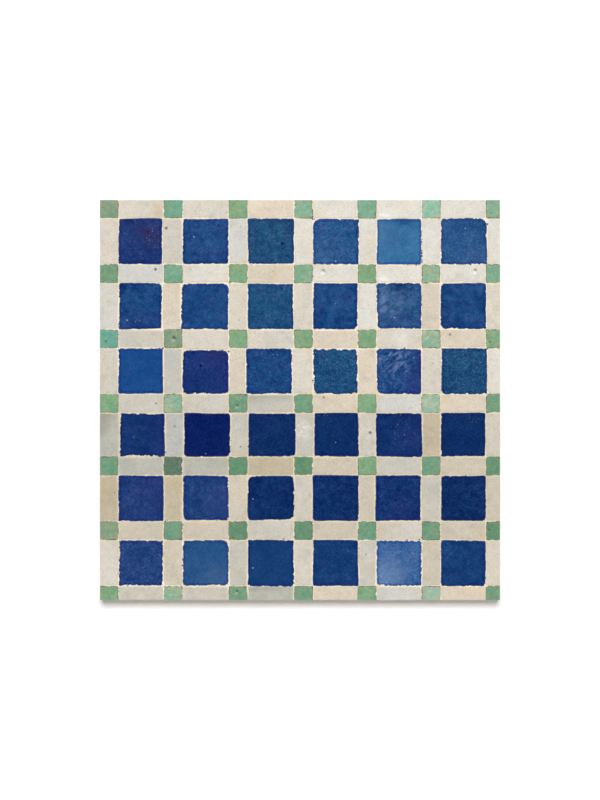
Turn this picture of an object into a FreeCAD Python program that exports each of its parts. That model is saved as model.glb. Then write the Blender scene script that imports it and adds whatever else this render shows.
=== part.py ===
import FreeCAD
import Part
import os
from math import hypot, radians, tan
from random import Random

# A square sheet of zellige mosaic, lying face up. Pieces of glazed clay, cut by hand with a chisel,
# sit in a bed of mortar: blue squares in rows, ivory strips in the lanes between the rows, and a
# small green square wherever two lanes cross.
# X runs to the right along the rows and Y up the pattern. Z is the normal of the glazed face.
# The origin is the middle of the sheet's back, and rows and columns count from the top left.

# The pattern, in millimetres on the glazed face
squares_per_side = 6   # blue squares in a row, and rows of them
blue_side = 33.7       # about a third of the 100 mm tile that the pieces are cut from
strip_width = 13.2
wide_joint = 1.1       # between a blue square and the strip beside it
corner_joint = 0.7     # how far a green square stays inside the lines of the blue squares' sides
narrow_joint = 0.6     # between a green square and the end of a strip
first_lane_cut = 0.1   # what the sheet's straight left and top edges take off the green squares
last_lane_cut = 3.5    # what its right and bottom edges take off them

# The lanes aren't quite evenly spaced: how far each strays, to the right and down
upright_lane_strays = [0, -0.3, 0.2, 0.9, 0.3, 0.1, 0]
across_lane_strays = [0, 0.2, 0.8, 0.9, -0.5, -0.3, 0]

# Sides of blue squares that are well out of line, by row and column: how far each strays, to the
# right or down. The strips beside them follow.
uneven_sides = {
    (1, 1): {"right": -1.2},
    (1, 4): {"right": 1.0},
    (1, 6): {"right": 1.0},
    (2, 1): {"right": -1.2},
    (2, 2): {"left": -1.2},
    (2, 5): {"bottom": -0.6},
    (3, 2): {"top": 1.2},
    (3, 3): {"left": -1.1, "right": -1.3},
    (3, 6): {"left": 0.8, "right": 1.0},
    (4, 1): {"left": 0.8, "right": 1.2},
    (4, 2): {"left": 1.0, "right": 1.4},
    (4, 3): {"left": 0.7, "right": 1.2},
    (4, 4): {"left": 1.0, "right": 1.0},
    (4, 5): {"left": -0.8},
    (5, 3): {"bottom": -0.9},
    (5, 4): {"right": 0.9},
    (5, 5): {"left": -1.0, "right": -0.7},
    (6, 4): {"right": 0.9},
}

# The section
clay_thickness = 12.0  # of the thickest pieces, glaze included
bed_thickness = 6.0    # mortar under the pieces
joint_recess = 0.45    # from the glazed faces down to the mortar in the joints
undercut = 8.0         # degrees by which the chiselled sides lean in towards the back
glaze_roll = 0.35      # where the glaze rolls over the edges of a face

# The hand of the cutter
line_error = 0.3       # how far the other sides of the blue squares stray
cutting_error = 0.2    # how far a corner strays, as a share of the joint on that side
thinning = 0.9         # by how much the thinnest pieces miss the full thickness
least_nip = 0.5        # corners lose between these two lengths to the chisel
most_nip = 1.7
nip_share = 0.17       # and never more than this share of the piece's shortest side

# Worked out from the sizes above
lane_width = strip_width + 2 * wide_joint
pitch = blue_side + lane_width
green_side = lane_width - 2 * corner_joint
sheet_side = squares_per_side * pitch + green_side - first_lane_cut - last_lane_cut
face_height = bed_thickness + clay_thickness
left_edge = -sheet_side / 2
right_edge = sheet_side / 2


def lane_middle(number, strays):
    # Middle of a lane, from the left edge, or from the top edge when it is used downwards.
    return left_edge + green_side / 2 - first_lane_cut + number * pitch + strays[number]


def sides_in_lane(number, strays, width, joint):
    # A piece's low and high side across a lane, each with the joint beside it. The first and last
    # lanes end flush with the sheet, with no joint there.
    middle = lane_middle(number, strays)
    low, high = (middle - width / 2, joint), (middle + width / 2, joint)
    if number == 0:
        low = (left_edge, None)
    if number == squares_per_side:
        high = (right_edge, None)
    return low, high


def sides_between_lanes(number, strays, reach, joint):
    # The same for a piece from one lane to the next, each lane reaching so far from its middle.
    low = lane_middle(number, strays) + reach
    high = lane_middle(number + 1, strays) - reach
    return (low, joint), (high, joint)


def square_stray(row, column, side):
    # How far one side of a blue square is out of line.
    odd_sides = uneven_sides.get((row + 1, column + 1), {})
    luck = Random(f"side {row} {column} {side}")
    return odd_sides.get(side, luck.uniform(-line_error, line_error))


def shifted(sides, low_stray, high_stray):
    # Moves both sides, but never one on the sheet's own edge.
    (low, low_joint), (high, high_joint) = sides
    low += 0 if low_joint is None else low_stray
    high += 0 if high_joint is None else high_stray
    return (low, low_joint), (high, high_joint)


def upwards(low, high):
    # Turns two sides measured down from the top edge into sides along Y.
    return (-high[0], high[1]), (-low[0], low[1])


def corner_points(across, along, chisel):
    # The four corners in order, each a little out of place, as a hand leaves them.
    (west, west_joint), (east, east_joint) = across
    (south, south_joint), (north, north_joint) = along

    def strays(joint):
        return chisel.uniform(-cutting_error, cutting_error) * (joint or 0)

    return [
        FreeCAD.Vector(x + strays(x_joint), y + strays(y_joint), 0)
        for x, x_joint, y, y_joint in (
            (west, west_joint, south, south_joint),
            (east, east_joint, south, south_joint),
            (east, east_joint, north, north_joint),
            (west, west_joint, north, north_joint),
        )
    ]


def meeting(point, direction, other_point, other_direction):
    # Where two lines of the plan meet.
    gap = other_point - point
    turn = direction.x * other_direction.y - direction.y * other_direction.x
    return point + direction * ((gap.x * other_direction.y - gap.y * other_direction.x) / turn)


def outline(corners, is_cut, nips, inset, height):
    # The piece's outline at one height: cut sides move in by the inset and corners are nipped off.
    count = len(corners)
    along = [(corners[(i + 1) % count] - corners[i]).normalize() for i in range(count)]
    inward = [FreeCAD.Vector(-a.y, a.x, 0) for a in along]
    starts = [corners[i] + inward[i] * (inset if is_cut[i] else 0) for i in range(count)]
    points = []
    for i in range(count):
        before = i - 1
        corner = meeting(starts[before], along[before], starts[i], along[i])
        nip = nips[i] if is_cut[before] and is_cut[i] else 0
        if nip:
            points += [corner - along[before] * nip, corner + along[i] * nip]
        else:
            points.append(corner)
    return [FreeCAD.Vector(p.x, p.y, height) for p in points]


def flat_face(points):
    return Part.Face(Part.makePolygon(points + points[:1]))


def flat_sided_solid(outlines):
    # Flat faces from each outline up to the next, closed by the lowest and the highest outline.
    faces = [flat_face(outlines[0]), flat_face(outlines[-1])]
    for lower, upper in zip(outlines, outlines[1:]):
        for i in range(len(lower)):
            faces.append(flat_face([lower[i - 1], lower[i], upper[i], upper[i - 1]]))
    shell = Part.makeShell(faces)
    shell.sewShape()
    return Part.makeSolid(shell)


def clay_piece(across, along, name):
    # One hand-cut piece: a glazed face with rolled edges over sides that lean in to a smaller back.
    chisel = Random(name)
    corners = corner_points(across, along, chisel)
    is_cut = [joint is not None for joint in (along[0][1], across[1][1], along[1][1], across[0][1])]
    nips = [chisel.uniform(least_nip, most_nip) for _ in corners]
    shortest = min(hypot(*(corners[i] - corners[i - 1])[:2]) for i in range(len(corners)))
    nips = [min(nip, nip_share * shortest) for nip in nips]
    thickness = clay_thickness - chisel.uniform(0, thinning)
    back_inset = (thickness - glaze_roll) * tan(radians(undercut))
    return flat_sided_solid(
        [
            outline(corners, is_cut, nips, back_inset, face_height - thickness),
            outline(corners, is_cut, nips, 0, face_height - glaze_roll),
            outline(corners, is_cut, nips, glaze_roll, face_height),
        ]
    )


def blue_square(row, column):
    left, top, right, bottom = (square_stray(row, column, side) for side in ("left", "top", "right", "bottom"))
    across = sides_between_lanes(column, upright_lane_strays, lane_width / 2, wide_joint)
    down = sides_between_lanes(row, across_lane_strays, lane_width / 2, wide_joint)
    name = f"blue square {row} {column}"
    return clay_piece(shifted(across, left, right), upwards(*shifted(down, top, bottom)), name)


def green_square(row, column):
    across = sides_in_lane(column, upright_lane_strays, green_side, narrow_joint)
    down = sides_in_lane(row, across_lane_strays, green_side, narrow_joint)
    return clay_piece(across, upwards(*down), f"green square {row} {column}")


def strip_across(row, column):
    # Lies along X between two green squares, and follows the blue squares above and below it.
    reach = green_side / 2 + narrow_joint
    across = sides_between_lanes(column, upright_lane_strays, reach, narrow_joint)
    down = sides_in_lane(row, across_lane_strays, strip_width, wide_joint)
    down = shifted(down, square_stray(row - 1, column, "bottom"), square_stray(row, column, "top"))
    return clay_piece(across, upwards(*down), f"strip across {row} {column}")


def strip_upright(row, column):
    # Lies along Y between two green squares, and follows the blue squares beside it.
    reach = green_side / 2 + narrow_joint
    across = sides_in_lane(column, upright_lane_strays, strip_width, wide_joint)
    across = shifted(across, square_stray(row, column - 1, "right"), square_stray(row, column, "left"))
    down = sides_between_lanes(row, across_lane_strays, reach, narrow_joint)
    return clay_piece(across, upwards(*down), f"strip upright {row} {column}")


def mortar_bed(pieces):
    # Mortar fills the joints up to the recess and backs every piece, which leaves its print in it.
    block = Part.makeBox(
        sheet_side,
        sheet_side,
        face_height - joint_recess,
        FreeCAD.Vector(left_edge, left_edge, 0),
    )
    return block.cut(Part.makeCompound(pieces))


def sheet_nodes():
    squares = range(squares_per_side)
    lanes = range(squares_per_side + 1)
    nodes = {}
    for row in squares:
        for column in squares:
            nodes[f"blue_square_r{row + 1}_c{column + 1}"] = [blue_square(row, column)]
        nodes[f"ivory_strips_upright_{row + 1}"] = [strip_upright(row, c) for c in lanes]
    for row in lanes:
        nodes[f"green_squares_{row + 1}"] = [green_square(row, c) for c in lanes]
        nodes[f"ivory_strips_across_{row + 1}"] = [strip_across(row, c) for c in squares]
    pieces = [piece for group in nodes.values() for piece in group]
    nodes["mortar_bed"] = mortar_bed(pieces).Solids
    return nodes


def main():
    os.makedirs("parts", exist_ok=True)
    for name, solids in sheet_nodes().items():
        shape = solids[0] if len(solids) == 1 else Part.makeCompound(solids)
        shape.exportStep(f"parts/{name}.step")
    print(f"sheet {sheet_side:.1f} mm square, {face_height:.1f} mm thick, pitch {pitch:.2f} mm")


main()
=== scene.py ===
import math
import random

import bmesh
import bpy
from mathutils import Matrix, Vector


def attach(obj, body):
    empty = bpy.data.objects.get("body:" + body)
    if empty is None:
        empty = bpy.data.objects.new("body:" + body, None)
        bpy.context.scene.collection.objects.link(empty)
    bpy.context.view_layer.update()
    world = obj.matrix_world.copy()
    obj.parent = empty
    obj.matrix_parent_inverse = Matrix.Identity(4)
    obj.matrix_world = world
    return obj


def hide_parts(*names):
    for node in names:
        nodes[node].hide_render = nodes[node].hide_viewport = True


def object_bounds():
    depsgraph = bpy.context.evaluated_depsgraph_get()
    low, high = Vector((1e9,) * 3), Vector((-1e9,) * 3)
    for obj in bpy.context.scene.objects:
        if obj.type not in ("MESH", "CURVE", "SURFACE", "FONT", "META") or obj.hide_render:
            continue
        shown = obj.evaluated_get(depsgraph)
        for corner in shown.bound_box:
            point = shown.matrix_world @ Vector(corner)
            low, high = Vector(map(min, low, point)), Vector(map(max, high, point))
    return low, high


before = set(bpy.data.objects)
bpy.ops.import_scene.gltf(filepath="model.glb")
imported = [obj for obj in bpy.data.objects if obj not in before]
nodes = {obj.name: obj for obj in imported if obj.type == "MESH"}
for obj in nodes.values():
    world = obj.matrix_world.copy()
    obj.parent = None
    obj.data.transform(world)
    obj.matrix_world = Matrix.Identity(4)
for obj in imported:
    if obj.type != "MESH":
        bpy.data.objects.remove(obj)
cadLow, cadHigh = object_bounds()
faceHeight = cadHigh.z
sheetHalf = cadHigh.x
mm = 0.001
cornerNames = ("southWest", "southEast", "northEast", "northWest")
cornerWays = ((-1, -1), (1, -1), (1, 1), (-1, 1))  # their x and y on a plain square
faceMarks = ("hazeAndSheen", "stain", "dusk", "gold", "drops", "flecks", "dent", "spot", "glint")


def srgb(red, green, blue):
    # Turns a colour as a screen shows it into the linear values that a shader takes
    values = [value / 255 for value in (red, green, blue)]
    return [v / 12.92 if v <= 0.04045 else ((v + 0.055) / 1.055) ** 2.4 for v in values] + [1.0]


# Small helpers for node trees

class Wire:
    # A node's output: the first, unless another is picked, as in wire["Color"].
    # Arithmetic with a wire adds math nodes to its tree.
    def __init__(self, tree, node, output=0):
        self.tree = tree
        self.node = node
        self.output = output

    def __getitem__(self, output):
        return Wire(self.tree, self.node, output)

    def __add__(self, other):
        return calc("ADD", self, other)

    def __sub__(self, other):
        return calc("SUBTRACT", self, other)

    def __rsub__(self, other):
        return calc("SUBTRACT", other, self)

    def __mul__(self, other):
        return calc("MULTIPLY", self, other)

    def __truediv__(self, other):
        return calc("DIVIDE", self, other)

    def __rtruediv__(self, other):
        return calc("DIVIDE", other, self)

    def __neg__(self):
        return calc("MULTIPLY", self, -1.0)

    def __abs__(self):
        return calc("ABSOLUTE", self)

    def __gt__(self, other):
        return calc("GREATER_THAN", self, other)


def join(wire, socket):
    wire.tree.links.new(wire.node.outputs[wire.output], socket)


def addNode(tree, kind, inputs=None, **settings):
    node = tree.nodes.new(kind)
    for name, value in settings.items():
        setattr(node, name, value)
    for key, value in (inputs or {}).items():
        if isinstance(value, Wire):
            join(value, node.inputs[key])
        else:
            node.inputs[key].default_value = value
    return Wire(tree, node)


def treeOf(*values):
    return next(value.tree for value in values if isinstance(value, Wire))


def calc(operation, *values, clamp=False):
    inputs = dict(enumerate(values))
    return addNode(treeOf(*values), "ShaderNodeMath", inputs, operation=operation, use_clamp=clamp)


def vector(operation, *values):
    made = addNode(treeOf(*values), "ShaderNodeVectorMath", dict(enumerate(values)), operation=operation)
    return made["Value" if operation in ("LENGTH", "DOT_PRODUCT", "DISTANCE") else "Vector"]


def square(value):
    return value * value


def combine(x, y, z):
    return addNode(treeOf(x, y, z), "ShaderNodeCombineXYZ", {0: x, 1: y, 2: z})


def split(value, kind="ShaderNodeSeparateXYZ"):
    parts = addNode(value.tree, kind, {0: value})
    return parts[0], parts[1], parts[2]


def mix(factor, first, second, kind="FLOAT", way="MIX"):
    start = {"FLOAT": 2, "VECTOR": 4, "RGBA": 6}[kind]  # where this kind's sockets begin
    inputs = {0: factor, start: first, start + 1: second}
    made = addNode(treeOf(factor, first, second), "ShaderNodeMix", inputs, data_type=kind, blend_type=way)
    return made[start // 2 - 1]


def paint(colour, mask, tint, strength=None, way="MIX"):
    # Lays a tint over a colour where the mask is, or multiplies the colour by it
    return mix(mask if strength is None else mask * strength, colour, tint, "RGBA", way)


def ramp(value, low, high, fromValue=0.0, toValue=1.0, shape="SMOOTHSTEP"):
    # A step from one value to another between low and high
    inputs = {"Value": value, "From Min": low, "From Max": high, "To Min": fromValue, "To Max": toValue}
    return addNode(value.tree, "ShaderNodeMapRange", inputs, interpolation_type=shape)


def noise(place, size, detail=2.0, roughness=0.5, distortion=0.0):
    # Noise whose features are about size metres across
    inputs = {"Vector": place, "Scale": 1.0 / size, "Detail": detail, "Roughness": roughness}
    inputs["Distortion"] = distortion
    return addNode(place.tree, "ShaderNodeTexNoise", inputs)


def coordinates(tree):
    return addNode(tree, "ShaderNodeTexCoord")["Object"]


def attribute(tree, name, output="Fac"):
    return addNode(tree, "ShaderNodeAttribute", attribute_name=name)[output]


def makeGroup(name, inputs, outputs, kind="ShaderNodeTree"):
    # A node group. An input is either a number, which is its default, or a kind of socket.
    tree = bpy.data.node_groups.new(name, kind)
    for label, value in inputs.items():
        socketType = "NodeSocket" + ("Float" if isinstance(value, float) else value)
        socket = tree.interface.new_socket(name=label, in_out="INPUT", socket_type=socketType)
        if isinstance(value, float):
            socket.default_value = value
    for label, socketKind in outputs.items():
        tree.interface.new_socket(name=label, in_out="OUTPUT", socket_type="NodeSocket" + socketKind)
    given = Wire(tree, tree.nodes.new("NodeGroupInput"))
    return tree, given, tree.nodes.new("NodeGroupOutput").inputs


# The pieces as the frame has them

def meshIslands(mesh):
    # Points of each separate solid in a mesh
    merged = bmesh.new()
    merged.from_mesh(mesh)
    bmesh.ops.remove_doubles(merged, verts=merged.verts, dist=1e-6)
    seen = set()
    islands = []
    for first in merged.verts:
        if first in seen:
            continue
        seen.add(first)
        fresh, island = [first], []
        while fresh:
            point = fresh.pop()
            island.append(point.co.copy())
            around = [edge.other_vert(point) for edge in point.link_edges]
            fresh += [other for other in around if other not in seen]
            seen.update(around)
        islands.append(island)
    merged.free()
    return islands


def meetingPoint(start, end, otherStart, otherEnd):
    along, otherAlong = end - start, otherEnd - otherStart
    turn = along.x * otherAlong.y - along.y * otherAlong.x
    gap = otherStart - start
    return start + along * ((gap.x * otherAlong.y - gap.y * otherAlong.x) / turn)


def pieceCorners(points):
    # The four corners that a piece's sides would meet in if its corners weren't nipped off
    levels = sorted({round(point.z, 6) for point in points})
    outline = [point.xy for point in points if abs(point.z - levels[1]) < 1e-5]
    middle = sum(outline, Vector((0, 0))) / len(outline)

    def turning(point):
        return math.atan2(point.y - middle.y, point.x - middle.x)

    outline.sort(key=turning)
    edges = list(zip(outline, outline[1:] + outline[:1]))
    longest = sorted(range(len(edges)), key=lambda i: (edges[i][0] - edges[i][1]).length)[-4:]
    sides = [edges[i] for i in sorted(longest)]
    corners = [meetingPoint(*sides[i - 1], *side) for i, side in enumerate(sides)]
    return sorted(corners, key=turning), levels[0]  # in the order of cornerNames, and the back's height


def readPieces(names):
    found = []
    for name in names:
        for points in meshIslands(nodes[name].data):
            corners, back = pieceCorners(points)
            found.append({"corners": corners, "back": back, "middle": sum(corners, Vector((0, 0))) / 4})
    return found


# Geometry Nodes that bend one square block to every piece's own corners

def makeBlock(cellsAcross, cellsUp, rings, crowding):
    # Top in a grid whose lines crowd towards the edges, sides in rings down to depth 1, closed below
    def lines(count):
        even = [2 * i / count - 1 for i in range(count + 1)]
        return [x + crowding * (x - x**3) / 2 for x in even]

    block = bmesh.new()
    grid = [[block.verts.new((u, v, 0)) for u in lines(cellsAcross)] for v in lines(cellsUp)]
    for lower, upper in zip(grid, grid[1:]):
        for i in range(cellsAcross):
            block.faces.new((lower[i], lower[i + 1], upper[i + 1], upper[i]))
    east = [row[-1] for row in grid[1:-1]]
    west = [row[0] for row in grid[1:-1]]
    loop = grid[0] + east + grid[-1][::-1] + west[::-1]
    for depth in rings:
        below = [block.verts.new((point.co.x, point.co.y, -depth)) for point in loop]
        for i in range(len(loop)):
            block.faces.new((loop[i - 1], below[i - 1], below[i], loop[i]))
        loop = below
    block.faces.new(loop[::-1])
    mesh = bpy.data.meshes.new("block")
    block.to_mesh(mesh)
    block.free()
    return addObject("block", mesh)


def addObject(name, data):
    made = bpy.data.objects.new(name, data)
    bpy.context.scene.collection.objects.link(made)
    return made


def handCutTree():
    inputs = {
        "Layout": "Geometry", "Block": "Object", "Top height": 0.018,
        "Chip depth": 0.0006, "Chip size": 0.004, "Chip reach": 0.0012, "Fullness": 0.0001,
        "Bow": 0.0002, "Bow size": 0.016, "Rim width": 0.001, "Rim drop": 0.0003,
        "Crown": 0.0001, "Wave height": 0.0002, "Wave size": 0.012,
        "Undercut": math.tan(math.radians(8)), "Seed": 0.0, "Material": "Material",
    }
    tree, given, result = makeGroup("handCutPieces", inputs, {"Pieces": "Geometry"}, "GeometryNodeTree")

    def kept(name, kind="FLOAT_VECTOR"):
        return addNode(tree, "GeometryNodeInputNamedAttribute", {"Name": name}, data_type=kind)["Attribute"]

    def store(geometry, name, value, kind="FLOAT"):
        inputs = {"Geometry": geometry, "Name": name, "Value": value}
        return addNode(tree, "GeometryNodeStoreNamedAttribute", inputs, data_type=kind, domain="POINT")

    # One block on every point of the layout
    block = addNode(tree, "GeometryNodeObjectInfo", {"Object": given["Block"]})["Geometry"]
    block = store(block, "place", addNode(tree, "GeometryNodeInputPosition"), "FLOAT_VECTOR")
    pieces = addNode(tree, "GeometryNodeInstanceOnPoints", {"Points": given["Layout"], "Instance": block})
    pieces = addNode(tree, "GeometryNodeRealizeInstances", {"Geometry": pieces})

    # Where a point lies between the four corners
    u, v, height = split(kept("place"))
    depth = -height
    southWest, southEast, northEast, northWest = [kept(name) for name in cornerNames]
    eastward, northward = u * 0.5 + 0.5, v * 0.5 + 0.5
    south = mix(eastward, southWest, southEast, "VECTOR")
    north = mix(eastward, northWest, northEast, "VECTOR")
    flatPlace = mix(northward, south, north, "VECTOR")

    def halfGap(first, second, third, fourth):
        # Half the way from the middle of one side to the middle of the side across from it
        return vector("DISTANCE", vector("ADD", first, second), vector("ADD", third, fourth)) * 0.25

    halfAcross = halfGap(southWest, northWest, southEast, northEast)
    halfUp = halfGap(southWest, southEast, northWest, northEast)
    absU, absV = abs(u), abs(v)
    signU, signV = calc("SIGN", u), calc("SIGN", v)

    # Sides on the sheet's own edges were sawn: they stay straight, upright and sharp
    lowSawn, highSawn = split(kept("sawnLow")), split(kept("sawnHigh"))
    isEast, isNorth = u > 0.0, v > 0.0
    sawnAcross = mix(isEast, lowSawn[0], highSawn[0])
    sawnUp = mix(isNorth, lowSawn[1], highSawn[1])
    freeAcross, freeUp = 1.0 - sawnAcross, 1.0 - sawnUp

    # Distance to the nearest side, and the point of the outline straight out from here
    farOff = 1.0  # a sawn side counts as this far off, in metres
    downward = 0.008  # how far the chips' noise moves on from the rim to the back
    toSideAcross, toSideUp = (1.0 - absU) * halfAcross, (1.0 - absV) * halfUp
    toSide = calc("MINIMUM", sawnAcross * farOff + toSideAcross, sawnUp * farOff + toSideUp)
    reach = calc("MAXIMUM", calc("MAXIMUM", absU, absV), 0.001)
    outward = 1.0 / reach - 1.0
    x, y = u * halfAcross, v * halfUp
    seed = kept("seed", "FLOAT") + given["Seed"]
    chipSpot = vector("ADD", combine(x * outward, y * outward, depth * downward + seed), flatPlace)

    # Chips along the cut sides: many small bites and a few deep ones
    bites = ramp(noise(chipSpot, given["Chip size"], 3.0, 0.62), 0.40, 0.74, shape="LINEAR")
    chip = calc("POWER", bites, 1.3) * given["Chip depth"] * kept("roughCut", "FLOAT")

    def sideLuck(x, y):
        # Each side was cut by itself, so each is rougher or smoother than the others
        return addNode(tree, "ShaderNodeTexWhiteNoise", {"Vector": combine(x, y, seed)}) * 1.2 + 0.4

    def nearSide(distance, width):
        return calc("EXPONENT", -distance / width)

    # A slower wander of the whole side
    bow = (noise(chipSpot, given["Bow size"], 1.0) * 4.0 - 2.0) * given["Bow"]

    # Corners knocked round, each by its own radius
    radii = addNode(tree, "FunctionNodeSeparateColor", {0: kept("radii", "FLOAT_COLOR")})
    southRadius, northRadius = mix(isEast, radii[0], radii[1]), mix(isEast, radii[3], radii[2])
    radius = mix(isNorth, southRadius, northRadius) * (freeAcross * freeUp)
    edgeX, edgeY = abs(x) / reach, abs(y) / reach
    centreX, centreY = halfAcross - radius, halfUp - radius
    edgeReach = calc("SQRT", square(edgeX) + square(edgeY))
    wayX, wayY = edgeX / edgeReach, edgeY / edgeReach
    along = wayX * centreX + wayY * centreY
    aside = square(along) - (square(centreX) + square(centreY)) + square(radius)
    roundReach = along + calc("SQRT", calc("MAXIMUM", aside, 0.0))
    isCorner = (edgeX > centreX) * (edgeY > centreY)
    shrink = calc("MAXIMUM", (edgeReach - roundReach) * isCorner, 0.0)
    nearest = calc("MINIMUM", toSideAcross, toSideUp)
    shrink = shrink * nearSide(nearest, radius * 1.2 + 0.0006)

    # Everything that moves a point in from its place on the plain outline
    back = kept("back", "FLOAT")
    backInset = (given["Top height"] - back) * given["Undercut"] * depth
    deepest = given["Chip reach"] * 0.85  # a bite deeper than its reach would fold the face over itself
    softness = 0.0002

    def inward(absolute, distance, way, free, sign, luck):
        chipped = calc("SMOOTH_MIN", chip * luck + bow - given["Fullness"], deepest, softness)
        chipped = chipped * nearSide(distance, given["Chip reach"])
        return (backInset * absolute + (shrink * way + chipped)) * free * -sign

    moveX = inward(absU, toSideAcross, wayX, freeAcross, signU, sideLuck(signU, 0.0))
    moveY = inward(absV, toSideUp, wayY, freeUp, signV, sideLuck(0.0, signV))

    # How far the glaze lies below the highest it may be
    rimPart = calc("DIVIDE", toSide, given["Rim width"], clamp=True)
    rimFall = square(1.0 - rimPart) * given["Rim drop"]
    broken = chip * nearSide(toSide, given["Chip reach"] * 0.5)
    crown = (square(u) + square(v)) * (given["Crown"] * 0.5)
    waveSpot = vector("ADD", flatPlace, combine(0.0, 0.0, seed))
    wave = noise(waveSpot, given["Wave size"], 1.5, 0.45) * given["Wave height"] * kept("waviness", "FLOAT")
    lean = kept("lean")
    leanX, leanY, _ = split(lean)
    leaning = abs(leanX) + abs(leanY) - vector("DOT_PRODUCT", lean, kept("place"))
    top = given["Top height"] - (rimFall + broken + crown + wave + leaning)
    final = vector("ADD", flatPlace, combine(moveX, moveY, mix(depth, top, back)))
    pieces = addNode(tree, "GeometryNodeSetPosition", {"Geometry": pieces, "Position": final})

    # What the glazes need to know: millimetres from the side, how broken the rim is, how far down
    pieces = store(pieces, "rim", toSide * 1000.0)
    pieces = store(pieces, "broken", broken / given["Chip depth"])
    pieces = store(pieces, "below", depth)
    angle = addNode(tree, "GeometryNodeInputMeshEdgeAngle")["Unsigned Angle"]
    sharpest = 0.9  # radians that still shade as one smooth face
    pieces = addNode(tree, "GeometryNodeSetShadeSmooth", {"Geometry": pieces}, domain="FACE")
    inputs = {"Geometry": pieces, "Selection": angle > sharpest, "Shade Smooth": False}
    pieces = addNode(tree, "GeometryNodeSetShadeSmooth", inputs, domain="EDGE")
    pieces = addNode(tree, "GeometryNodeRealizeInstances", {"Geometry": pieces})
    pieces = addNode(tree, "GeometryNodeSetMaterial", {"Geometry": pieces, "Material": given["Material"]})
    join(pieces, result["Pieces"])
    return tree


# Effects that the materials share

def place(group, tree, **inputs):
    # Puts a shared effect in a tree with that tree's own values
    named = {label.replace("_", " ").capitalize(): value for label, value in inputs.items()}
    return addNode(tree, "ShaderNodeGroup", named, node_tree=group)


def smudgeGroup():
    # A soft round patch, whole or broken up, where a piece's own attribute says: x, y and strength
    inputs = {"Spot": "Vector", "Broken": 1.0, "Spread": 0.012, "Break size": 0.004}
    inputs.update({"Stretch": 1.0, "Squash": 1.0})
    tree, given, result = makeGroup("glazeSmudge", inputs, {"Mask": "Float"})
    ground = coordinates(tree)
    flatten = combine(1.0, given["Squash"], 0.0)
    flat = vector("MULTIPLY", ground, flatten)
    centre = vector("MULTIPLY", given["Spot"], flatten)
    away = vector("DISTANCE", flat, centre) / given["Spread"]
    body = ramp(away, 1.0, 0.0) * split(given["Spot"])[2]
    slant = (0, 0, math.radians(-42))  # the way most of the streaks in the glaze run
    turned = addNode(tree, "ShaderNodeMapping", {"Vector": ground, "Rotation": slant})
    turned = vector("MULTIPLY", turned, combine(given["Stretch"], 1.0, 1.0))
    torn = ramp(noise(turned, given["Break size"], 3.0, 0.6, 0.5), 0.46, 0.64)
    join(body * mix(given["Broken"], 1.0, torn), result["Mask"])
    return tree


def dimpleGroup():
    # A dent in a face, and a painted highlight on its lower side, as if it were lit from above
    outputs = {"Dent": "Float", "Highlight": "Float"}
    tree, given, result = makeGroup("glazeDimple", {"Spot": "Vector"}, outputs)
    lower = vector("ADD", given["Spot"], (-0.0004, -0.0018, 0.0))
    for label, spot, spread in (("Dent", given["Spot"], 0.0021), ("Highlight", lower, 0.0024)):
        join(ramp(place(smudge, tree, spot=spot, broken=0.0, spread=spread), 0.1, 0.6), result[label])
    return tree


def washGroup():
    # A change of colour that grows towards one side of a piece: how far right, how far up, how strong
    inputs = {"Wash": "Vector", "Wander": 0.5}
    tree, given, result = makeGroup("glazeWash", inputs, {"Mask": "Float"})
    flat = vector("MULTIPLY", attribute(tree, "place", "Vector"), (1.0, 1.0, 0.0))
    toward = (given["Wander"] - 0.5) * 1.6 + vector("DOT_PRODUCT", flat, given["Wash"])
    join(ramp(toward, -0.2, 1.0) * split(given["Wash"])[2], result["Mask"])
    return tree


def dotsGroup():
    # Scattered round dots, such as pinholes where gas left the glaze
    inputs = {"Spacing": 0.008, "Radius": 0.0004, "Share": 0.3, "Shift": 0.0}
    tree, given, result = makeGroup("glazeDots", inputs, {"Mask": "Float"})
    ground = vector("ADD", coordinates(tree), given["Shift"])
    inputs = {"Vector": ground, "Scale": 1.0 / given["Spacing"]}
    cells = addNode(tree, "ShaderNodeTexVoronoi", inputs, voronoi_dimensions="2D")
    luck, size, _ = split(cells["Color"], "ShaderNodeSeparateColor")
    away = cells["Distance"] * given["Spacing"] / (given["Radius"] * (size + 0.4))
    join(ramp(away, 0.55, 1.25, 1.0, 0.0) * calc("LESS_THAN", luck, given["Share"]), result["Mask"])
    return tree


clay = {
    "pale": srgb(216, 190, 156),
    "warm": srgb(202, 162, 124),
    "dust": srgb(224, 206, 178),
    "grit": srgb(150, 118, 90),
    "hole": srgb(120, 88, 64),
    "holes": (4.5, 0.5, 0.3),
}


def bareClayGroup():
    # Fired clay where no glaze covers it: the cut sides, the backs and the broken rims
    outputs = {"Color": "Color", "Height": "Float", "Mask": "Float"}
    tree, given, result = makeGroup("bareClay", {"Broken from": 0.4}, outputs)
    ground = coordinates(tree)
    grains = noise(ground, 0.0009, 4.0, 0.7)
    patches = noise(ground, 0.009, 3.0, 0.6)
    sawMarks = noise(vector("MULTIPLY", ground, (0.1, 0.1, 1.6)), 0.0011, 2.0, 0.6, 0.2)
    colour = mix(ramp(patches, 0.3, 0.7), clay["pale"], clay["warm"], "RGBA")
    colour = paint(colour, ramp(sawMarks, 0.5, 0.7), clay["dust"], 0.35)
    colour = paint(colour, ramp(grains, 0.55, 0.7), clay["grit"])
    holes = dotted(tree, *clay["holes"])
    colour = paint(colour, holes, clay["hole"], 0.6)
    side = ramp(patches * 0.04 + attribute(tree, "below"), 0.055, 0.07)
    ragged = (grains - 0.5) * 0.5 + attribute(tree, "broken")
    opened = ramp(ragged - given["Broken from"], 0.0, 0.12)
    join(colour, result["Color"])
    join(sawMarks * 0.8 + (grains - holes), result["Height"])
    join(calc("MAXIMUM", side, opened), result["Mask"])
    return tree


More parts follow.
